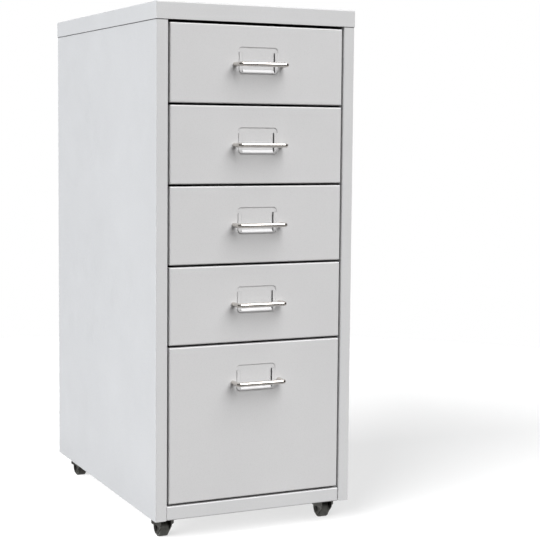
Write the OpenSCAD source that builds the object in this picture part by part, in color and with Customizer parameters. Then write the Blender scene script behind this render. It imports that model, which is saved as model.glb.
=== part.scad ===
// Small metal drawer cabinet: a folded sheet-steel body on four swivel casters, with four low
// drawers over one deep drawer. All sizes are in millimetres.
// +X points right, +Y points back and +Z points up. The origin is on the floor, under the middle
// of the overall box. Inside in_frame(), y = 0 is the plane of the uprights' and drawers' faces.

/* [Cabinet] */
// Overall width, over the top cover
cabinet_w = 282; // [250:1:400]
// Overall depth, over the top cover
cabinet_d = 430; // [400:5:600]
// Height from one gap between drawers to the next
unit_h = 103.2; // [95:0.2:140]
// Height of the bottom drawer, in units
bottom_units = 2; // [1:0.5:3]
// Height of the plinth rail under the bottom drawer
plinth_h = 18.3; // [15:0.1:50]
// Distance of the plinth rail behind the uprights' faces
plinth_setback = 1.2; // [0:0.1:3]
// Gap between each end of the plinth rail and the upright beside it
rail_gap = 0.5; // [0.3:0.1:0.8]
// Depth of the top cover's turned-down edges
cover_edge_h = 22.2; // [16:0.2:40]
// Gap between the top drawer's front and the top cover
cover_gap = 3.8; // [2:0.1:5]
// Clearance between the top cover and the body that it sits over
cover_play = 0.1; // [0.05:0.05:0.5]
// Width of each upright, seen from the front
upright_w = 15.9; // [14:0.1:22]
// Depth of the lip that is folded back along each upright
upright_return = 12; // [8:0.5:16]
// Radius of the cut-away lower inner corner of each upright
upright_foot_r = 3; // [1:0.5:5]

/* [Sheet metal] */
// Thickness of the body's sheet
body_t = 0.6; // [0.5:0.1:0.9]
// Outer radius of the body's bends
bend_r = 1.6; // [1.2:0.1:2.4]
// Outer radius of the top cover's upper edges
cover_bend_r = 1.6; // [1.4:0.1:3]
// Width of the side panels' rear flanges
rear_flange_w = 19; // [16:0.5:26]
// Width of the side panels' top flanges
top_flange_w = 10; // [6:0.5:16]
// Height of the bottom panel's turned-up side and rear flanges
floor_flange_h = 15; // [14:0.5:20]
// Depth of the small stiffening returns on the plinth rail and the top cover
stiffener_w = 8; // [5:0.5:10]
// Clearance around panels that fit between other panels
panel_play = 0.3; // [0.1:0.1:0.6]

/* [Drawers] */
// Gap between one drawer front and the next
front_gap = 3.0; // [2:0.1:4]
// Gap between a drawer front and an upright
side_gap = 2.4; // [1.5:0.1:3]
// Depth of a drawer front's folded edges
front_depth = 12; // [9:0.5:16]
// Width of the rim that is folded in behind a drawer front
front_rim_w = 8; // [4:0.5:10]
// Outer radius of a drawer front's edges
front_bend_r = 1.6; // [1.2:0.1:2.4]
// Radius of a drawer front's four corners
front_corner_r = 0.9; // [0.7:0.1:1.2]
// Thickness of the trays' sheet
tray_t = 0.5; // [0.4:0.1:0.8]
// Outer radius of the trays' bends
tray_bend_r = 1.2; // [1:0.1:1.6]
// Height of a tray's bottom over the lower edge of its front
tray_lift = 6; // [3:0.5:12]
// Distance of a tray's rim under the upper edge of its front
tray_drop = 12; // [10:0.5:20]
// Distance of a tray's back behind which the body stays free
tray_rear_room = 24; // [10:1:40]
// Height by which a tray's back is lower than its rim
tray_back_drop = 8; // [2:0.5:15]
// How far a drawer pulls out
travel = 300; // [200:5:320]

/* [Runners] */
// Thickness of the runners' sheet
runner_t = 0.7; // [0.5:0.1:1]
// Width of the riding flange along each tray's rim
ride_w = 6.1; // [5.5:0.1:8]
// Height of the riding flange
ride_h = 7.7; // [7:0.1:12]
// Clearance between a riding flange and the runner under it
ride_play = 0.3; // [0.2:0.1:0.5]
// Clearance between a riding flange and the runner's upper lip
ride_top_play = 0.4; // [0.3:0.1:1]
// Clearance between a riding flange and the opening between the uprights
ride_side_play = 1.2; // [0.6:0.1:1.4]
// Clearance between a tray's side and a runner's lips
shelf_play = 1.6; // [0.5:0.1:2]
// Clearance at the drawer stops
stop_play = 0.3; // [0.2:0.1:0.6]
// Height of the tab that stops a pulled drawer
stop_tab_h = 4; // [2:0.5:5]

/* [Label holder] */
// Width of the label holder, over its lips
label_w = 56.4; // [40:0.2:60]
// Height of the label holder
label_h = 34.6; // [28:0.2:40]
// Distance of the label holder under the front's upper edge
label_drop = 27.5; // [18:0.5:32]
// Corner radius of the label holder
label_r = 5; // [2:0.5:6]
// Depth of the pressed-in label field
label_recess = 0.9; // [0.5:0.1:1.4]
// Height by which the holding lips stand proud
label_rise = 1.1; // [0.8:0.1:1.6]
// Width of the slopes around the field and outside the lips
label_slope = 1.1; // [0.8:0.1:1.6]
// Width of the side lips
lip_w = 5.2; // [4:0.1:7]
// Distance of the side lips' upper ends under the holder's upper edge
lip_drop = 7; // [5:0.5:10]
// Width of the open slot inside each side lip
slot_w = 1.0; // [0.8:0.1:2]
// Width of the bottom ledge's flat crest
ledge_crest_w = 1.3; // [0.8:0.1:2]
// Width of the bottom ledge's inner slope
ledge_slope_w = 3; // [2:0.1:4]

/* [Handles] */
// Distance between a handle's two legs
handle_span = 66; // [62:0.5:120]
// Diameter of the handle's wire
handle_wire_d = 6; // [5:0.1:9]
// How far a handle stands out from the drawer's face
handle_reach = 22; // [18:0.5:40]
// Bend radius at the middle of the handle's wire
handle_bend_r = 4; // [3.5:0.5:8]
// Distance of a handle's middle under the front's upper edge
handle_drop = 50.2; // [40:0.2:55]

/* [Casters] */
// Wheel diameter
wheel_d = 22; // [18:0.5:30]
// Wheel width
wheel_w = 13; // [10:0.5:16]
// Rounding of the wheel's tread edges
wheel_edge_r = 1.6; // [0.6:0.1:2]
// Diameter of the axle
axle_d = 4; // [3:0.5:5]
// Diameter of the axle's riveted heads
axle_head_d = 8; // [6:0.2:9]
// Thickness of the axle's riveted heads
axle_head_h = 1.0; // [0.6:0.1:1.6]
// Clearance on each side of the wheel
wheel_side_play = 0.6; // [0.4:0.1:1]
// Clearance between the wheel and the kingpin's lower head
wheel_top_play = 1.15; // [0.8:0.05:2]
// Radial clearance of the turning fits on axle and kingpin
turning_play = 0.06; // [0.03:0.01:0.08]
// How far the wheel runs behind the swivel axis
trail = 3; // [2:0.5:6]
// Thickness of the fork's sheet
fork_t = 1.2; // [1:0.1:1.6]
// Height of the fork's turned-down rim
rim_h = 5.7; // [3:0.1:6.5]
// Clearance between the wheel's upper part and the fork's round rim
rim_play = 0.8; // [0.6:0.1:3]
// Radius of the fork's rounded lower ends
fork_end_r = 7.5; // [4.8:0.1:8]
// How far the fork's cheeks flare out under the rim
fork_flare = 1; // [1:0.5:3]
// Diameter of the kingpin
kingpin_d = 6; // [5:0.5:8]
// Diameter of the kingpin's heads
kingpin_head_d = 10; // [9:0.5:11]
// Thickness of the kingpin's heads
kingpin_head_h = 0.8; // [0.6:0.1:1]
// Width of the mounting plate
plate_w = 32; // [30:1:36]
// Length of the mounting plate
plate_l = 38; // [36:1:44]
// Thickness of the mounting plate
plate_t = 1.6; // [1.2:0.1:2]
// Corner radius of the mounting plate
plate_r = 3; // [1:0.5:4]
// Height of the ball race between plate and fork
race_h = 2.5; // [2.3:0.1:4]
// Diameter of the ball race
race_d = 22; // [18:1:24]
// Running gaps over and under the fork's crown
crown_play = 0.25; // [0.15:0.05:0.5]
// Distance from a body side to a caster's swivel axis
caster_inset_x = 22.3; // [20:0.1:40]
// Distance from the body's front to a front caster's swivel axis
caster_inset_front = 33; // [32.5:0.5:60]
// Distance from the body's back to a rear caster's swivel axis
caster_inset_rear = 41; // [30:0.5:60]

/* [Fasteners] */
// Clearance between a screw and its hole
screw_play = 0.1; // [0.05:0.05:0.2]
// Thread diameter of the handle screws
handle_screw_d = 3; // [2.5:0.5:3.5]
// Length of the handle screws
handle_screw_l = 9; // [7:0.5:12]
// Diameter of the holes through which the handle screws are driven
access_d = 12; // [9:0.5:14]
// Thread diameter of the caster screws
caster_screw_d = 4; // [3:0.5:4]
// Distance of the caster screws from the mounting plate's edges
caster_screw_edge = 4; // [3.9:0.1:4.2]
// Width across flats of the caster nuts
nut_flats = 7; // [6:0.1:7.4]
// Height of the caster nuts
nut_h = 3.2; // [2:0.1:4]
// Thread diameter of the panel screws
panel_screw_d = 3.5; // [3:0.5:4]
// Length of the panel screws
panel_screw_l = 8; // [6:0.5:12]
// Number of panel screws down each side of the back panel
back_screw_rows = 3; // [2:1:5]

/* [Hidden] */
$fn = 64;
EPS = 0.01; // overlap of cuts and of joined solids
PAST = 1; // how far a cutter runs past what it cuts
HULL_FN = 32;
HEX = 6;

PAINT = [0.83, 0.83, 0.83];
ZINC = [0.62, 0.62, 0.6];
CHROME = [0.85, 0.84, 0.82];
RUBBER = [0.22, 0.22, 0.21];

DRAWERS = [1 : 5]; // from the top
DEEP_DRAWER = 5;
SIDES = ["left", "right"];
CORNERS = ["fl", "fr", "bl", "br"];
PAIR = [-1, 1];

// Pan-head proportions: head diameter and height over the thread diameter, and the cross recess
HEAD_D_RATIO = 1.9;
HEAD_H_RATIO = 0.6;
HEAD_TOP_RATIO = 0.7;
CROSS_L_RATIO = 1.0;
CROSS_W_RATIO = 0.2;
CROSS_DEPTH_RATIO = 0.35;

// Caster heights, from the floor up
wheel_r = wheel_d / 2;
kingpin_head_z = wheel_d + wheel_top_play;
crown_z = kingpin_head_z + kingpin_head_h + crown_play;
crown_top_z = crown_z + fork_t;
plate_z = crown_top_z + race_h;
base_z = plate_z + plate_t;

// Caster plan sizes
cheek_in = wheel_w / 2 + wheel_side_play;
rim_z = crown_z - rim_h;
wheel_half_chord = sqrt((wheel_d - rim_z) * rim_z);
crown_r = norm([wheel_w / 2, trail + wheel_half_chord]) + rim_play + fork_t;
plate_hole_x = plate_w / 2 - caster_screw_edge;
plate_hole_y = plate_l / 2 - caster_screw_edge;

// Body
body_half = cabinet_w / 2 - body_t - cover_play;
body_d = cabinet_d - 2 * (body_t + cover_play);
wall_x = body_half - body_t;
upright_x = body_half - upright_w;
back_y = body_d - body_t;
floor_top = base_z + body_t;
plinth_top = base_z + plinth_h;
low_gap_z = plinth_top + front_gap / 2;
units = bottom_units + DEEP_DRAWER - 1;
cover_z = low_gap_z + units * unit_h - front_gap / 2 + cover_gap;
cabinet_h = cover_z + cover_edge_h;
side_top = cabinet_h - cover_bend_r;

// Drawers
front_w = 2 * (upright_x - side_gap);
function units_below(n) = n == DEEP_DRAWER ? 0 : bottom_units + DEEP_DRAWER - 1 - n;
function units_of(n) = n == DEEP_DRAWER ? bottom_units : 1;
function front_h(n) = units_of(n) * unit_h - front_gap;
function front_low(n) = low_gap_z + units_below(n) * unit_h + front_gap / 2;
function front_high(n) = front_low(n) + front_h(n);
function handle_z(n) = front_high(n) - handle_drop;
function tray_low(n) = front_low(n) + tray_lift;
function tray_high(n) = front_high(n) - tray_drop;
function shelf_z(n) = tray_high(n) - ride_h - ride_play;
ride_x = upright_x - ride_side_play;
tray_x = ride_x - ride_w;
tray_back = body_d - tray_rear_room;

// Runners
runner_front = max(front_depth, upright_return) + stop_play;
runner_back = tray_back + stop_play + runner_t;
shelf_x = tray_x + shelf_play;
stop_tab_y = tray_back - tray_t - travel - stop_play - runner_t;

// Label holder, in a drawer front's own plane: x from its middle, y from its lower edge up
lip_x = label_w / 2 - lip_w;
slot_x = lip_x - slot_w;
lip_top = label_h - lip_drop;
ledge_top = label_slope + ledge_crest_w;
field_low = ledge_top + ledge_slope_w;

// Handles and screws
handle_r = handle_wire_d / 2;
handle_bar = handle_reach - handle_r;
handle_x = handle_span / 2;
handle_screw_r = handle_screw_d / 2;
caster_screw_r = caster_screw_d / 2;
panel_screw_r = panel_screw_d / 2;
axle_r = axle_d / 2;
kingpin_r = kingpin_d / 2;
nut_r = nut_flats / 2 / cos(30);
screw_tip = 1.2; // how far a caster screw shows past its nut
floor_screw_x = 60;
floor_screw_z = floor_top + floor_flange_h / 2;
back_screw_x = body_half - rear_flange_w / 2;
back_screw_low = base_z + 30;
back_screw_high = cabinet_h - cover_edge_h - 20;
cover_screw_z = cabinet_h - cover_edge_h / 2;

// The overall box runs from the handles to the cover screws' heads, and its middle is at y = 0
rear_most = body_d + cover_play + body_t + panel_screw_d * HEAD_H_RATIO;
middle_y = (rear_most - handle_reach) / 2;

// ---------------------------------------------------------------- helpers

module in_frame() {
    translate([0, -middle_y, 0]) children();
}

// Draws a right-hand piece, or its mirror image on the left
module on_side(side) {
    mirror([side == "left" ? 1 : 0, 0, 0]) children();
}

// Sweeps a (y, z) profile along X
module along_x(x0, x1) {
    translate([x0, 0, 0]) rotate([90, 0, 90]) linear_extrude(x1 - x0) children();
}

// Sweeps an (x, z) profile along Y
module along_y(y0, y1) {
    translate([0, y1, 0]) rotate([90, 0, 0]) linear_extrude(y1 - y0) children();
}

// Sweeps an (x, y) profile along Z
module along_z(z0, z1) {
    translate([0, 0, z0]) linear_extrude(z1 - z0) children();
}

function unit(v) = v / norm(v);

// A strip of sheet of thickness t along right-angled points, with bends of middle radius r
module bent_strip(path, t, r) {
    last = len(path) - 1;
    for (i = [0 : last - 1]) {
        ahead = unit(path[i + 1] - path[i]);
        a = path[i] + (i == 0 ? 0 : r) * ahead;
        b = path[i + 1] - (i == last - 1 ? 0 : r) * ahead;
        out = [-ahead.y, ahead.x] * t / 2;
        polygon([a + out, b + out, b - out, a - out]);
    }
    for (i = [1 : last - 1]) {
        before = unit(path[i] - path[i - 1]);
        after = unit(path[i + 1] - path[i]);
        centre = path[i] + r * (after - before);
        far = r + t;
        intersection() {
            difference() {
                translate(centre) circle(r + t / 2);
                translate(centre) circle(r - t / 2);
            }
            polygon([
                centre,
                centre + far * before,
                centre + far * (before - after),
                centre - far * after
            ]);
        }
    }
}

// A rectangle between two corners, with a radius at each: low left, low right, high right, high left
module rounded(low, high, radii) {
    at = [low, [high.x, low.y], high, [low.x, high.y]];
    inward = [[1, 1], [-1, 1], [-1, -1], [1, -1]];
    difference() {
        translate(low) square(high - low);
        for (i = [0 : 3]) if (radii[i] > 0) corner_square(at[i], inward[i], radii[i]);
    }
    for (i = [0 : 3]) if (radii[i] > 0) intersection() {
        translate(at[i] + inward[i] * radii[i]) circle(radii[i]);
        corner_square(at[i], inward[i], radii[i]);
    }
}

// The square of side r that reaches inward from a corner
module corner_square(at, inward, r) {
    translate([min(at.x, at.x + inward.x * r), min(at.y, at.y + inward.y * r)]) square(r);
}

// A block on z = 0, centred on X and Y, with rounded upper edges and rounded upright corners
module cap(w, d, h, edge_r, corner_r) {
    intersection() {
        along_x(-w / 2, w / 2) rounded([-d / 2, 0], [d / 2, h], [0, 0, edge_r, edge_r]);
        along_y(-d / 2, d / 2) rounded([-w / 2, 0], [w / 2, h], [0, 0, edge_r, edge_r]);
        along_z(0, h) rounded([-w / 2, -d / 2], [w / 2, d / 2], [for (i = [0 : 3]) corner_r]);
    }
}

// A folded pan of sheet t, open downwards
module pan(w, d, h, t, edge_r, corner_r) {
    difference() {
        cap(w, d, h, edge_r, corner_r);
        translate([0, 0, -PAST])
            cap(w - 2 * t, d - 2 * t, h - t + PAST, edge_r - t, corner_r - t / 2);
    }
}

// A pan-head screw with a cross recess: the head is over z = 0 and the shank under it
module pan_screw(d, length) {
    head_r = d * HEAD_D_RATIO / 2;
    head_h = d * HEAD_H_RATIO;
    shoulder = head_h / 2;
    cross = [d * CROSS_L_RATIO, d * CROSS_W_RATIO, head_h];
    difference() {
        union() {
            cylinder(r = head_r, h = shoulder);
            translate([0, 0, shoulder])
                cylinder(r1 = head_r, r2 = head_r * HEAD_TOP_RATIO, h = head_h - shoulder);
            translate([0, 0, -length]) cylinder(r = d / 2, h = length + EPS);
        }
        for (turn = [0, 90])
            rotate([0, 0, turn])
                translate([-cross.x / 2, -cross.y / 2, head_h - d * CROSS_DEPTH_RATIO]) cube(cross);
    }
}

// ---------------------------------------------------------------- body

// A side wall with an upright folded along its front, and a tab that closes the upright's foot
module side_panel(side) {
    mid = body_t / 2;
    color(PAINT) in_frame() on_side(side) difference() {
        union() {
            along_z(base_z, side_top) bent_strip([
                [upright_x + mid, upright_return],
                [upright_x + mid, mid],
                [body_half - mid, mid],
                [body_half - mid, body_d - mid],
                [body_half - rear_flange_w, body_d - mid]
            ], body_t, bend_r - mid);
            along_y(upright_return + panel_play, back_y - body_t - panel_play) bent_strip([
                [body_half - mid, side_top - 2 * bend_r],
                [body_half - mid, side_top - mid],
                [body_half - top_flange_w, side_top - mid]
            ], body_t, bend_r - mid);
            along_z(base_z, base_z + body_t) translate([upright_x + upright_foot_r, mid])
                square([upright_w - upright_foot_r - mid, upright_return - mid]);
        }
        upright_foot_cut();
        back_screws_at() screw_bore(panel_screw_r);
        cover_screws_at() screw_bore(panel_screw_r);
    }
}

// What is cut away to round the lower inner corner of the right-hand upright
module upright_foot_cut() {
    r = upright_foot_r;
    along_y(-PAST, upright_return + PAST) translate([upright_x - EPS, base_z - EPS]) difference() {
        translate([-PAST, -PAST]) square(r + PAST);
        translate([r, r]) circle(r);
    }
}

// A pan whose turned-up front edge is the plinth rail, notched around the uprights
module bottom_panel() {
    mid = body_t / 2;
    rail_y = plinth_setback + mid;
    wing_x = wall_x - mid;
    rail_x = upright_x - rail_gap;
    rear = back_y - body_t - mid;
    color(PAINT) in_frame() difference() {
        union() {
            along_x(-rail_x, rail_x) bent_strip([
                [rail_y + stiffener_w, plinth_top - mid],
                [rail_y, plinth_top - mid],
                [rail_y, base_z + mid],
                [rear, base_z + mid],
                [rear, floor_top + floor_flange_h]
            ], body_t, bend_r - mid);
            for (side = SIDES) on_side(side)
                along_y(upright_return + panel_play, rear - bend_r) bent_strip([
                    [rail_x - PAST, base_z + mid],
                    [wing_x, base_z + mid],
                    [wing_x, floor_top + floor_flange_h]
                ], body_t, bend_r - mid);
        }
        for (c = CORNERS) translate([caster_x(c), caster_y(c), base_z]) {
            plate_screws_at() screw_bore(caster_screw_r);
            screw_bore(kingpin_head_d / 2);
        }
        floor_screws_at() screw_bore(panel_screw_r);
    }
}

module back_panel() {
    half = body_half - bend_r - panel_play;
    color(PAINT) in_frame() difference() {
        translate([-half, back_y - body_t, base_z])
            cube([2 * half, body_t, side_top - panel_play - base_z]);
        for (side = SIDES) on_side(side) {
            back_screws_at() screw_bore(panel_screw_r);
            cover_screws_at() screw_bore(panel_screw_r);
        }
        floor_screws_at() screw_bore(panel_screw_r);
    }
}

module top_cover() {
    return_x = upright_x - panel_play;
    front = -cover_play - body_t;
    color(PAINT) in_frame() difference() {
        union() {
            translate([0, body_d / 2, cover_z])
                pan(cabinet_w, cabinet_d, cover_edge_h, body_t, cover_bend_r, bend_r);
            translate([-return_x, front + EPS, cover_z])
                cube([2 * return_x, stiffener_w, body_t]);
        }
        for (side = SIDES) on_side(side) cover_screws_at() screw_bore(panel_screw_r);
    }
}

// ---------------------------------------------------------------- runners

// A channel on the body's side: the tray's flange rides on its shelf and under its upper lip
module runner(side, n) {
    mid = runner_t / 2;
    low = shelf_z(n) - mid;
    high = tray_high(n) + ride_top_play + mid;
    color(PAINT) in_frame() on_side(side) {
        along_y(runner_front, runner_back) bent_strip([
            [shelf_x, low],
            [wall_x - mid, low],
            [wall_x - mid, high],
            [shelf_x, high]
        ], runner_t, bend_r - mid);
        along_y(runner_back - runner_t, runner_back)
            rounded([shelf_x, low - mid], [wall_x, high + mid], [0, bend_r, bend_r, 0]);
        translate([shelf_x, stop_tab_y, shelf_z(n) - EPS])
            cube([ride_x - tray_t - stop_play - shelf_x, runner_t, stop_tab_h + EPS]);
    }
}

// ---------------------------------------------------------------- drawers

// Placed with x and y in the plane of the front, and z out of its face
module drawer_front(n) {
    h = front_h(n);
    label_low = h / 2 - label_drop - label_h;
    color(PAINT) in_frame()
        translate([0, front_depth, front_low(n) + h / 2]) rotate([90, 0, 0]) difference() {
            union() {
                difference() {
                    union() {
                        pan(front_w, h, front_depth, body_t, front_bend_r, front_corner_r);
                        front_rim(h);
                        translate([0, label_low, -body_t]) label_field();
                    }
                    translate([0, label_low, 0]) {
                        label_field();
                        label_cut_out();
                    }
                }
                translate([0, label_low, 0]) {
                    label_lips();
                    label_ledge();
                }
            }
            for (s = PAIR) translate([s * handle_x, h / 2 - handle_drop, front_depth])
                screw_bore(handle_screw_r);
        }
}

// The rim that is folded in behind a drawer front
module front_rim(h) {
    w = front_w - body_t;
    inner = [front_w / 2 - front_rim_w, h / 2 - front_rim_w];
    along_z(0, body_t) difference() {
        square([w, h - body_t], center = true);
        square(2 * inner, center = true);
    }
}

// A slope-sided block over the label holder's outline, from z0 at one end to z1 at the other
module label_block(low_inset, z0, high_inset, z1) {
    hull() {
        along_z(z0 - EPS, z0) label_outline(low_inset);
        along_z(z1, z1 + EPS) label_outline(high_inset);
    }
}

module label_outline(inset) {
    half = label_w / 2 - inset;
    radii = [for (i = [0 : 3]) label_r - inset / 2];
    rounded([-half, inset], [half, label_h - inset], radii, $fn = HULL_FN);
}

// The pressed-in field, which cuts the face and also bulges out behind it
module label_field() {
    label_block(label_slope, front_depth - label_recess, 0, front_depth);
}

// What is cut away under the side lips, beside the field and under the ledge
module label_cut_out() {
    inset = label_slope / 2;
    deep = label_recess + 2 * body_t;
    along_z(front_depth - deep, front_depth + PAST) intersection() {
        label_outline(inset);
        difference() {
            translate([-label_w, 0]) square([2 * label_w, lip_top]);
            translate([-slot_x, field_low]) square([2 * slot_x, label_h]);
        }
    }
}

// Two side lips and the ledge's crest, raised over the face
module label_lips() {
    difference() {
        label_block(0, front_depth - body_t / 2, label_slope, front_depth + label_rise);
        translate([0, 0, -body_t])
            label_block(0, front_depth - body_t / 2, label_slope, front_depth + label_rise);
        translate([-lip_x, ledge_top, front_depth - PAST])
            cube([2 * lip_x, label_h, 2 * PAST + label_rise]);
        translate([-label_w, lip_top, front_depth - PAST])
            cube([2 * label_w, label_h, 2 * PAST + label_rise]);
    }
}

// The ledge's inner slope, from the crest down to the field
module label_ledge() {
    high = front_depth + label_rise;
    low = front_depth - label_recess;
    upper = [
        [ledge_top - label_slope / 2, high],
        [ledge_top, high],
        [field_low, low],
        [field_low + label_slope / 2, low]
    ];
    lower = [for (i = [3 : -1 : 0]) upper[i] - [0, body_t]];
    along_x(-slot_x, slot_x) polygon(concat(upper, lower));
}

// One sheet bent into riding flanges, sides and bottom, with a front wall and a lower back
module drawer_tray(n) {
    mid = tray_t / 2;
    low = tray_low(n);
    high = tray_high(n);
    flange_low = high - ride_h;
    color(PAINT) in_frame() difference() {
        union() {
            along_y(front_depth, tray_back) bent_strip([
                [mid - ride_x, flange_low],
                [mid - ride_x, high - mid],
                [mid - tray_x, high - mid],
                [mid - tray_x, low + mid],
                [tray_x - mid, low + mid],
                [tray_x - mid, high - mid],
                [ride_x - mid, high - mid],
                [ride_x - mid, flange_low]
            ], tray_t, tray_bend_r - mid);
            tray_wall(front_depth, low, high - tray_bend_r);
            tray_wall(tray_back - tray_t, low, high - tray_back_drop);
            for (side = SIDES) on_side(side)
                along_y(tray_back - tray_t, tray_back)
                    rounded([tray_x - mid, flange_low], [ride_x, high - mid], [0, 0, tray_bend_r, 0]);
        }
        for (s = PAIR) translate([s * handle_x, front_depth, handle_z(n)])
            rotate([90, 0, 0]) cylinder(d = access_d, h = 2 * stiffener_w, center = true);
    }
}

module tray_wall(y, low, high) {
    r = tray_bend_r;
    along_y(y, y + tray_t) rounded([-tray_x, low], [tray_x, high], [r, r, 0, 0]);
}

// ---------------------------------------------------------------- handles

// A bow of round wire, with a tapped hole in the end of each leg
module drawer_handle(n) {
    leg = handle_bar - handle_bend_r;
    half = handle_x - handle_bend_r;
    color(CHROME) in_frame() translate([0, 0, handle_z(n)]) difference() {
        union() {
            for (s = PAIR) {
                translate([s * handle_x, 0, 0]) rotate([90, 0, 0]) cylinder(r = handle_r, h = leg);
                translate([s * half, -leg, 0]) rotate([0, 0, s < 0 ? 180 : -90])
                    rotate_extrude(angle = 90) translate([handle_bend_r, 0]) circle(handle_r);
            }
            translate([-half, -handle_bar, 0]) rotate([0, 90, 0]) cylinder(r = handle_r, h = 2 * half);
        }
        for (s = PAIR) translate([s * handle_x, 0, 0]) rotate([90, 0, 0]) translate([0, 0, -PAST])
            cylinder(r = handle_screw_r + turning_play, h = handle_screw_l + 2 * PAST);
    }
}

module handle_screws(n) {
    color(ZINC) in_frame() for (s = PAIR) translate([s * handle_x, body_t, handle_z(n)])
        rotate([-90, 0, 0]) pan_screw(handle_screw_d, handle_screw_l);
}

// ---------------------------------------------------------------- casters

function caster_x(c) = (c[1] == "l" ? -1 : 1) * (body_half - caster_inset_x);
function caster_y(c) = c[0] == "f" ? caster_inset_front : body_d - caster_inset_rear;

// Puts a caster's piece, drawn around its swivel axis, in its corner
module at_corner(c) {
    in_frame() translate([caster_x(c), caster_y(c), 0]) children();
}

module caster_plate(c) {
    corner = [plate_w, plate_l] / 2;
    color(ZINC) at_corner(c) difference() {
        union() {
            along_z(plate_z, base_z) rounded(-corner, corner, [for (i = [0 : 3]) plate_r]);
            along_z(crown_top_z + crown_play, plate_z + EPS) circle(race_d / 2);
        }
        translate([0, 0, crown_z]) cylinder(r = kingpin_r + turning_play, h = base_z);
        translate([0, 0, base_z]) plate_screws_at() screw_bore(caster_screw_r);
    }
}

// A round crown whose rim is turned down beside the wheel, and two flared cheeks with the axle
module caster_fork(c) {
    color(ZINC) at_corner(c) difference() {
        union() {
            along_z(crown_z, crown_top_z) circle(crown_r);
            along_z(rim_z, crown_z + EPS) difference() {
                circle(crown_r);
                circle(crown_r - fork_t);
                square([2 * cheek_in, 3 * crown_r], center = true);
            }
            intersection() {
                along_y(-crown_r, crown_r) for (s = PAIR) fork_cheek_section(s);
                along_x(-crown_r, crown_r) fork_cheek_outline();
                cylinder(r = crown_r - fork_t / 2, h = crown_top_z);
            }
        }
        translate([0, 0, rim_z]) cylinder(r = kingpin_r + turning_play, h = base_z);
        on_axle() cylinder(r = axle_r + EPS, h = 2 * crown_r, center = true);
    }
}

// One cheek seen from the front: upright beside the wheel, flared out under the rim
module fork_cheek_section(s) {
    inner = [
        [cheek_in, 0],
        [cheek_in, wheel_r + axle_head_d / 2],
        [cheek_in + fork_flare, rim_z],
        [cheek_in + fork_flare, crown_z + EPS]
    ];
    outer = [for (i = [3 : -1 : 0]) inner[i] + [fork_t, 0]];
    polygon([for (q = concat(inner, outer)) [s * q.x, q.y]]);
}

// Both cheeks seen from the side: as wide as the crown at the rim, and round at the axle
module fork_cheek_outline() {
    axle = [trail, wheel_r];
    front = [-crown_r, rim_z];
    rear = [crown_r, rim_z];
    front_touch = touch_point(front, axle, fork_end_r, 1);
    rear_touch = touch_point(rear, axle, fork_end_r, -1);
    far = 2 * fork_end_r;
    polygon([
        [-crown_r, crown_z + EPS], front, front_touch, axle, rear_touch, rear, [crown_r, crown_z + EPS]
    ]);
    intersection() {
        translate(axle) circle(fork_end_r);
        polygon([
            axle,
            axle + 2 * (front_touch - axle),
            axle - [far, far],
            axle + [far, -far],
            axle + 2 * (rear_touch - axle)
        ]);
    }
}

// Where a line through a point touches a circle, on one side or the other
function touch_point(from, centre, r, side) =
    let (v = from - centre, a = atan2(v.y, v.x) + side * acos(r / norm(v)))
    centre + r * [cos(a), sin(a)];

module caster_wheel(c) {
    half = wheel_w / 2;
    hub_r = 2 * axle_r;
    dish_r = wheel_r - 2 * wheel_edge_r;
    dish = wheel_edge_r;
    color(RUBBER) at_corner(c) on_axle() difference() {
        rotate_extrude() rounded([0, -half], [wheel_r, half], [0, wheel_edge_r, wheel_edge_r, 0]);
        for (s = PAIR) translate([0, 0, s * half]) difference() {
            cylinder(r = dish_r, h = 2 * dish, center = true);
            cylinder(r = hub_r, h = 2 * dish, center = true);
        }
        cylinder(r = axle_r + turning_play, h = wheel_w + 2 * PAST, center = true);
    }
}

module caster_axle(c) {
    reach = cheek_in + fork_t;
    color(ZINC) at_corner(c) on_axle() {
        cylinder(r = axle_r, h = 2 * reach + EPS, center = true);
        for (s = PAIR) translate([0, 0, s * (reach + axle_head_h / 2)])
            cylinder(r = axle_head_d / 2, h = axle_head_h, center = true);
    }
}

// Turns a piece that is drawn along Z onto the axle
module on_axle() {
    translate([0, trail, wheel_r]) rotate([0, 90, 0]) children();
}

module caster_kingpins() {
    top = base_z + kingpin_head_h;
    color(ZINC) for (c = CORNERS) at_corner(c) {
        translate([0, 0, kingpin_head_z]) {
            cylinder(r = kingpin_r, h = top - kingpin_head_z);
            cylinder(r = kingpin_head_d / 2, h = kingpin_head_h);
        }
        translate([0, 0, base_z]) cylinder(r = kingpin_head_d / 2, h = kingpin_head_h);
    }
}

// ---------------------------------------------------------------- fasteners

// A clearance hole for a screw or rivet, along Z through z = 0
module screw_bore(r) {
    cylinder(r = r + screw_play, h = 2 * stiffener_w, center = true);
}

module plate_screws_at() {
    for (sx = PAIR, sy = PAIR) translate([sx * plate_hole_x, sy * plate_hole_y, 0]) children();
}

// The panel screws' places, with z pointing out of the back
module back_screws_at() {
    step = (back_screw_high - back_screw_low) / (back_screw_rows - 1);
    for (i = [0 : back_screw_rows - 1])
        translate([back_screw_x, body_d, back_screw_low + i * step]) rotate([-90, 0, 0]) children();
}

module cover_screws_at() {
    translate([back_screw_x, body_d + cover_play + body_t, cover_screw_z])
        rotate([-90, 0, 0]) children();
}

module floor_screws_at() {
    for (s = PAIR)
        translate([s * floor_screw_x, back_y, floor_screw_z]) rotate([-90, 0, 0]) children();
}

module caster_screws() {
    length = plate_t + body_t + nut_h + screw_tip;
    color(ZINC) for (c = CORNERS) at_corner(c)
        translate([0, 0, plate_z]) plate_screws_at()
            rotate([180, 0, 0]) pan_screw(caster_screw_d, length);
}

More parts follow.
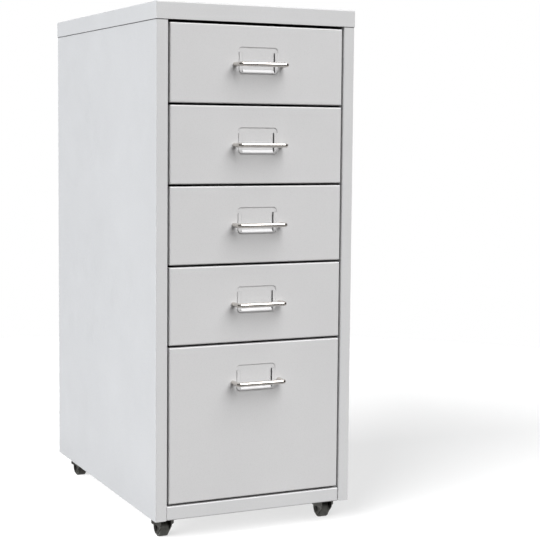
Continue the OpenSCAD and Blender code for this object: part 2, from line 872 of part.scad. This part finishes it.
module caster_nuts() {
    color(ZINC) for (c = CORNERS) at_corner(c)
        translate([0, 0, floor_top]) plate_screws_at() difference() {
            cylinder(r = nut_r, h = nut_h, $fn = HEX);
            cylinder(r = caster_screw_r + turning_play, h = 2 * PAST + 2 * nut_h, center = true);
        }
}

module panel_screws() {
    color(ZINC) in_frame() {
        for (side = SIDES) on_side(side) {
            back_screws_at() pan_screw(panel_screw_d, panel_screw_l);
            cover_screws_at() pan_screw(panel_screw_d, panel_screw_l);
        }
        floor_screws_at() pan_screw(panel_screw_d, panel_screw_l);
    }
}

// ---------------------------------------------------------------- assembly

for (side = SIDES) {
    side_panel(side);
    for (n = DRAWERS) runner(side, n);
}
bottom_panel();
back_panel();
top_cover();
for (n = DRAWERS) {
    drawer_front(n);
    drawer_tray(n);
    drawer_handle(n);
    handle_screws(n);
}
for (c = CORNERS) {
    caster_plate(c);
    caster_fork(c);
    caster_wheel(c);
    caster_axle(c);
}
caster_kingpins();
caster_screws();
caster_nuts();
panel_screws();
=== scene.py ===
"""Looks of the small metal drawer cabinet: its materials, a plain studio and the camera.

Everything is in metres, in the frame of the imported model: +X right, +Y back, +Z up.
"""

import math

import bpy
from mathutils import Matrix, Vector

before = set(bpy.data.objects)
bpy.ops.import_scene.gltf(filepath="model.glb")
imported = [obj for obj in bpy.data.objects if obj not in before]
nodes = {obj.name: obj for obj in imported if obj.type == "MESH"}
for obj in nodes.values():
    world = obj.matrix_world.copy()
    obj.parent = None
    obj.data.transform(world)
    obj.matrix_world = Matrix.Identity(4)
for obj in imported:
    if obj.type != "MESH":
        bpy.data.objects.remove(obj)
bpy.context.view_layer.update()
scene = bpy.context.scene

DRAWERS = range(1, 6)
CORNERS = ("fl", "fr", "bl", "br")
SIDES = ("left", "right")


# ---------------------------------------------------------------- camera

CAMERA_AT = Vector((-0.7527, -1.8459, 0.5333))
CAMERA_YAW, CAMERA_PITCH, CAMERA_ROLL = 0.4419, -0.0844, 0.0093  # radians
CAMERA_LENS, CAMERA_SENSOR = 92.5, 36  # mm
CAMERA_SHIFT = (-0.00635, -0.04185)
CAMERA_SEES_TO = 100


def add_camera():
    """Yaw turns the camera right from +Y, pitch turns it up, and roll leans it."""
    ahead = Vector(
        (
            math.sin(CAMERA_YAW) * math.cos(CAMERA_PITCH),
            math.cos(CAMERA_YAW) * math.cos(CAMERA_PITCH),
            math.sin(CAMERA_PITCH),
        )
    )
    level = Vector((math.cos(CAMERA_YAW), -math.sin(CAMERA_YAW), 0))
    upright = level.cross(ahead)
    right = math.cos(CAMERA_ROLL) * level + math.sin(CAMERA_ROLL) * upright
    up = math.cos(CAMERA_ROLL) * upright - math.sin(CAMERA_ROLL) * level
    data = bpy.data.cameras.new("camera")
    data.lens = CAMERA_LENS
    data.sensor_width = CAMERA_SENSOR
    data.shift_x, data.shift_y = CAMERA_SHIFT
    data.clip_end = CAMERA_SEES_TO
    camera = bpy.data.objects.new("camera", data)
    scene.collection.objects.link(camera)
    rows = [(right[i], up[i], -ahead[i], CAMERA_AT[i]) for i in range(3)]
    camera.matrix_world = Matrix(rows + [(0, 0, 0, 1)])
    scene.camera = camera


add_camera()


# ---------------------------------------------------------------- materials

WHITE = (1.0, 1.0, 1.0)

# The body's paint is darkened in a narrow band under the top cover: painted shadow of the cover's
# lower edge
PAINTED_SEAM_SHADOW = (0.12, 0.12, 0.125)  # what is left of the paint's colour
SEAM_H = 0.0010
SEAM_PLAY = 0.00005  # keeps the seam off the cover's own lower edge


class Maker:
    """One node material, with short calls for the nodes that it needs."""

    def __init__(self, name):
        self.material = bpy.data.materials.new(name)
        self.material.use_nodes = True
        self.tree = self.material.node_tree
        self.shader = self.tree.nodes["Principled BSDF"]
        self.place = self.tree.nodes.new("ShaderNodeTexCoord").outputs["Object"]

    def node(self, kind, inputs, **settings):
        """Adds a node, whose inputs are plain values or the sockets that feed them."""
        made = self.tree.nodes.new(kind)
        for key, value in settings.items():
            setattr(made, key, value)
        for key, value in inputs.items():
            if isinstance(value, bpy.types.NodeSocket):
                self.tree.links.new(value, made.inputs[key])
            else:
                made.inputs[key].default_value = value
        return made

    def set(self, **values):
        """Gives the shader plain values."""
        for key, value in values.items():
            self.shader.inputs[key.replace("_", " ")].default_value = value

    def link(self, source, name):
        """Feeds one of the shader's inputs."""
        self.tree.links.new(source, self.shader.inputs[name])

    def stretched(self, scale):
        """The place on the object, scaled by so much along each axis."""
        return self.node("ShaderNodeMapping", {"Vector": self.place, "Scale": scale}).outputs[0]

    def noise(self, cells, detail, place=None):
        """Noise from 0 to 1, with so many cells in a metre."""
        inputs = {"Vector": place or self.place, "Scale": cells, "Detail": detail}
        return self.node("ShaderNodeTexNoise", inputs).outputs["Fac"]

    def grains(self, cells):
        """Flat grains in random colours, with so many in a metre."""
        inputs = {"Vector": self.place, "Scale": cells}
        return self.node("ShaderNodeTexVoronoi", inputs).outputs["Color"]

    def between(self, noise, low, high):
        """Spreads the middle of a noise's range from low to high."""
        inputs = {"Value": noise, "From Min": 0.3, "From Max": 0.7, "To Min": low, "To Max": high}
        return self.node("ShaderNodeMapRange", inputs).outputs[0]

    def band(self, low, high):
        """1 between two heights, and 0 elsewhere."""
        height = self.node("ShaderNodeSeparateXYZ", {"Vector": self.place}).outputs["Z"]
        inputs = {0: height, 1: (low + high) / 2, 2: (high - low) / 2}
        return self.node("ShaderNodeMath", inputs, operation="COMPARE").outputs[0]

    def tint(self, factor, low, high, start=0.3, end=0.7):
        """Fades from one colour to another while the factor goes from start to end."""
        made = self.node("ShaderNodeValToRGB", {"Fac": factor})
        first, last = made.color_ramp.elements
        first.position, last.position = start, end
        first.color, last.color = (*low, 1), (*high, 1)
        return made.outputs["Color"]

    def times(self, a, b):
        """One colour multiplied by another."""
        settings = {"data_type": "RGBA", "blend_type": "MULTIPLY"}
        inputs = {"Factor": 1.0, "A": a, "B": b}
        return self.node("ShaderNodeMix", inputs, **settings).outputs["Result"]

    def bump(self, height, strength, distance, over=None):
        """Surface relief, by itself or over other relief."""
        inputs = {"Height": height, "Strength": strength, "Distance": distance}
        if over is not None:
            inputs["Normal"] = over
        return self.node("ShaderNodeBump", inputs).outputs["Normal"]


def shade(colour, share):
    return [c * share for c in colour]


def grey(value):
    return (value, value, value)


def paint(name, colour, rough, painted_shadow=None):
    """Light grey powder coat: clouded a little, with a fine orange peel over slightly wavy sheet.

    If given, the last argument is a pair of heights between which the paint is darkened: painted
    shadow under the top cover.
    """
    m = Maker(name)
    clouds = m.tint(m.noise(cells=7, detail=3), shade(colour, 0.975), shade(colour, 1.015))
    specks = m.tint(m.noise(cells=900, detail=1), grey(0.94), WHITE, start=0.28, end=0.5)
    coat = m.times(clouds, specks)
    if painted_shadow is not None:
        # painted shadow: darkens the paint in the band just under the top cover
        coat = m.times(coat, m.tint(m.band(*painted_shadow), WHITE, PAINTED_SEAM_SHADOW, start=0, end=1))
    m.link(coat, "Base Color")
    m.link(m.between(m.noise(cells=38, detail=4), rough - 0.04, rough + 0.06), "Roughness")
    wave = m.bump(m.noise(cells=9, detail=1), strength=0.25, distance=0.0016)
    peel = m.bump(m.noise(cells=620, detail=2), strength=0.22, distance=0.00006, over=wave)
    m.link(peel, "Normal")
    m.set(IOR=1.5, Coat_Weight=0.15, Coat_Roughness=0.22)
    return m.material


def chrome(name):
    """Polished plating, slightly warm, with faint draw marks along the wire."""
    m = Maker(name)
    plating = m.tint(m.noise(cells=60, detail=3), (0.60, 0.57, 0.535), (0.68, 0.65, 0.62))
    m.link(plating, "Base Color")
    m.link(m.between(m.noise(cells=240, detail=3), 0.06, 0.13), "Roughness")
    marks = m.noise(cells=700, detail=2, place=m.stretched((0.12, 1, 1)))
    m.link(m.bump(marks, strength=0.12, distance=0.00003), "Normal")
    m.set(Metallic=1.0)
    return m.material


def zinc(name, colour, rough):
    """Bright zinc plating with a faint spangle and darker blotches."""
    m = Maker(name)
    blotches = m.tint(m.noise(cells=110, detail=4), shade(colour, 0.80), colour)
    spangle = m.tint(m.grains(cells=650), grey(0.86), WHITE, start=0.1, end=0.9)
    m.link(m.times(blotches, spangle), "Base Color")
    m.link(m.between(m.noise(cells=420, detail=4), rough - 0.08, rough + 0.10), "Roughness")
    grit = m.noise(cells=1300, detail=3)
    m.link(m.bump(grit, strength=0.25, distance=0.00005), "Normal")
    m.set(Metallic=1.0)
    return m.material


def plastic(name):
    """Dark moulded plastic, dull and dusty where it runs on the floor."""
    m = Maker(name)
    dust = m.tint(m.noise(cells=170, detail=5), (0.075, 0.075, 0.068), (0.125, 0.125, 0.112))
    m.link(dust, "Base Color")
    m.link(m.between(m.noise(cells=500, detail=4), 0.42, 0.62), "Roughness")
    scuffs = m.noise(cells=1500, detail=3)
    m.link(m.bump(scuffs, strength=0.3, distance=0.00008), "Normal")
    m.set(IOR=1.47)
    return m.material


def floor_paint(name):
    """Plain paint with a glow of its own, so that only shadows show against the backdrop."""
    m = Maker(name)
    m.link(m.tint(m.noise(cells=3, detail=3), grey(0.32), grey(0.34)), "Base Color")
    m.set(Roughness=0.7, Specular_IOR_Level=0.2)
    m.set(Emission_Color=(*WHITE, 1), Emission_Strength=0.64)
    return m.material


def dress(material, *names):
    for name in names:
        for place in nodes[name].material_slots:
            place.material = material


cover_low = min(corner[2] for corner in nodes["top_cover"].bound_box)
# the band of painted shadow just under the top cover's lower edge
painted_shadow_band = (cover_low - SEAM_H, cover_low - SEAM_PLAY)
body_paint = paint("body_paint", (0.56, 0.563, 0.566), 0.36, painted_shadow_band)
front_paint = paint("front_paint", (0.56, 0.56, 0.562), 0.38)
tray_paint = paint("tray_paint", (0.54, 0.54, 0.54), 0.42)
chrome_plate = chrome("chrome_plate")
# The casters' zinc is darker than the screws': painted shade for their place under the cabinet
caster_zinc = zinc("caster_zinc", (0.42, 0.42, 0.40), 0.42)
screw_zinc = zinc("screw_zinc", (0.60, 0.60, 0.58), 0.30)
# The axles' steel is made dark as painted shade, standing in for the shadowed hole at each caster
# hub
rivet_steel = zinc("rivet_steel", (0.16, 0.16, 0.15), 0.45)
wheel_plastic = plastic("wheel_plastic")

dress(body_paint, "side_panel_left", "side_panel_right", "bottom_panel", "back_panel", "top_cover")
dress(body_paint, *[f"runner_{side}_{n}" for side in SIDES for n in DRAWERS])
dress(front_paint, *[f"drawer_front_{n}" for n in DRAWERS])
dress(tray_paint, *[f"drawer_tray_{n}" for n in DRAWERS])
dress(chrome_plate, *[f"drawer_handle_{n}" for n in DRAWERS])
dress(screw_zinc, *[f"handle_screws_{n}" for n in DRAWERS])
dress(screw_zinc, "caster_kingpins", "caster_screws", "caster_nuts", "panel_screws")
for part in ("plate", "fork"):
    dress(caster_zinc, *[f"caster_{part}_{corner}" for corner in CORNERS])
dress(rivet_steel, *[f"caster_axle_{corner}" for corner in CORNERS])
dress(wheel_plastic, *[f"caster_wheel_{corner}" for corner in CORNERS])


# ---------------------------------------------------------------- studio

FLOOR_R, FLOOR_EDGES = 1.6, 96

# Light from each height in the sky, where -1 is straight down and 1 straight up. The dark band
# around the horizon gives the chrome its dark lines.
SKY_BAND = (0.07, 0.063, 0.058, 1)
SKY = (
    (-0.50, (0.46, 0.46, 0.46, 1)),
    (-0.16, SKY_BAND),
    (0.46, SKY_BAND),
    (0.64, (0.50, 0.51, 0.52, 1)),
)


def add_floor():
    """A round, faintly glowing sheet that shows shadows but throws no light back."""
    bpy.ops.mesh.primitive_circle_add(vertices=FLOOR_EDGES, radius=FLOOR_R, fill_type="NGON")
    floor = bpy.context.object
    floor.name = "floor"
    floor.data.materials.append(floor_paint("floor_paint"))
    floor.visible_diffuse = False
    floor.visible_glossy = False
    return floor


def add_soft_sun(name, toward, spread, strength, colour):
    """A far, soft light from the direction given, spread over so many degrees."""
    data = bpy.data.lights.new(name, "SUN")
    data.angle = math.radians(spread)
    data.energy = strength
    data.color = colour
    lamp = bpy.data.objects.new(name, data)
    lamp.rotation_euler = (-Vector(toward)).to_track_quat("-Z", "Y").to_euler()
    scene.collection.objects.link(lamp)
    return lamp


def aim_at(lamp, thing, only):
    """Lets one lamp light only one thing, or all but that thing."""
    group = bpy.data.collections.new(f"{lamp.name}_reach")
    group.objects.link(thing)
    group.collection_objects[0].light_linking.link_state = "INCLUDE" if only else "EXCLUDE"
    lamp.light_linking.receiver_collection = group


def add_sky():
    """A white backdrop for the camera; what lights the object has a dark band at the horizon."""
    world = bpy.data.worlds.new("studio")
    world.use_nodes = True
    tree = world.node_tree
    tree.nodes.clear()

    def node(kind, **links):
        made = tree.nodes.new(kind)
        for key, source in links.items():
            tree.links.new(source, made.inputs[key.replace("_", " ")])
        return made

    up = node("ShaderNodeSeparateXYZ", Vector=node("ShaderNodeTexCoord").outputs["Generated"])
    height = node("ShaderNodeMapRange", Value=up.outputs["Z"])
    height.inputs["From Min"].default_value = -1
    ramp = node("ShaderNodeValToRGB", Fac=height.outputs[0])
    stops = ramp.color_ramp.elements
    while len(stops) < len(SKY):
        stops.new(0.5)
    for stop, (at, colour) in zip(stops, SKY):
        stop.position = (at + 1) / 2
        stop.color = colour
    dim = node("ShaderNodeBackground", Color=ramp.outputs["Color"])
    bright = node("ShaderNodeBackground")
    bright.inputs["Color"].default_value = (*WHITE, 1)
    mix = node("ShaderNodeMixShader", Fac=node("ShaderNodeLightPath").outputs["Is Camera Ray"])
    tree.links.new(dim.outputs[0], mix.inputs[1])
    tree.links.new(bright.outputs[0], mix.inputs[2])
    node("ShaderNodeOutputWorld", Surface=mix.outputs[0])
    scene.world = world


floor = add_floor()
add_sky()
top_light = add_soft_sun(
    "top_light", toward=(0.30, -0.88, 0.98), spread=54, strength=4.3, colour=(1.0, 0.995, 0.998)
)
side_light = add_soft_sun(
    "side_light", toward=(-0.92, 0.30, 0.14), spread=24, strength=4.23, colour=(0.952, 0.97, 1.0)
)
floor_light = add_soft_sun(
    "floor_light", toward=(-0.91, -0.42, 0.42), spread=55, strength=10.8, colour=WHITE
)
side_light.visible_glossy = False  # its gleam would show every wave of the side panel
aim_at(top_light, floor, only=False)
aim_at(side_light, floor, only=False)
aim_at(floor_light, floor, only=True)
scene.view_settings.view_transform = "Standard"
